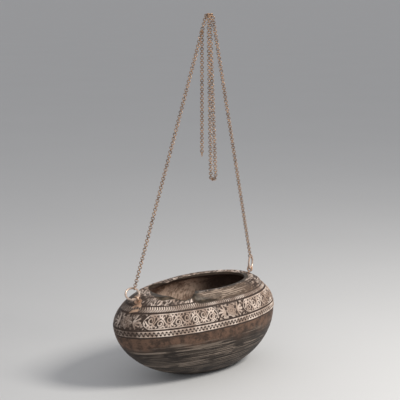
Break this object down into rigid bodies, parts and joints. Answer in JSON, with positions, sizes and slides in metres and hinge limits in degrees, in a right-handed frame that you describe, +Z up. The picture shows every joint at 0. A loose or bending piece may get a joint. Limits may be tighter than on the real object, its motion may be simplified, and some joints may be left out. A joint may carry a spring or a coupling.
{
  "type": "kashkul bowl",
  "caption": "Boat-shaped carved nut-shell bowl with a cusped mouth, staples and rings at both ends and a long ring-link chain to hang or carry it.",
  "frame": {"origin": "middle of the bowl's length and width, on the surface that it rests on", "axes": "+X from the bow to the stern, +Y to the side without the mouth's notch, +Z up along the hanging chain"},
  "size_m": [0.281, 0.132, 0.5185],
  "materials": {
    "nut_shell": "carved and handled",
    "staple_metal": "worn",
    "ring_metal": "worn",
    "chain_metal": "worn"
  },
  "bodies": {
    "bowl": {"bowl_shell": "nut_shell", "staple_bow": "staple_metal", "staple_stern": "staple_metal", "rove_outer_bow": "staple_metal", "rove_outer_stern": "staple_metal", "rove_inner_bow": "staple_metal", "rove_inner_stern": "staple_metal"},
    "carrying_chain": {"binding_bow": "ring_metal", "binding_stern": "ring_metal", "ring_bow": "ring_metal", "ring_stern": "ring_metal", "chain_bow_lower": "chain_metal", "chain_bow_upper": "chain_metal", "chain_turn_bow": "chain_metal", "chain_stern_lower": "chain_metal", "chain_stern_upper": "chain_metal", "chain_turn_stern": "chain_metal", "tail_jump_ring": "chain_metal"},
    "slack_loop": {"slack_down": "chain_metal", "slack_bend": "chain_metal", "slack_up": "chain_metal"},
    "tail": {"tail_strand": "chain_metal", "tail_hook": "chain_metal"}
  },
  "joints": [
    {"name": "chain_swing", "type": "hinge", "parent": "bowl", "child": "carrying_chain", "pos_m": [-0.11155, -0.00847, 0.13243], "axis": [0.999, 0.0389, 0.0198], "range_deg": [-20, 20]},
    {"name": "slack_swing", "type": "hinge", "parent": "carrying_chain", "child": "slack_loop", "pos_m": [0.025, 0, 0.5125], "axis": [0.7849, 0.6196, 0], "range_deg": [-3, 8]},
    {"name": "tail_swing", "type": "hinge", "parent": "carrying_chain", "child": "tail", "pos_m": [0.01791, 0.00723, 0.49134], "axis": [0.7849, 0.6196, 0], "range_deg": [-3, 8]}
  ],
  "couplings": [
    {"joint": "tail_swing", "follows": "slack_swing", "ratio": 1}
  ]
}
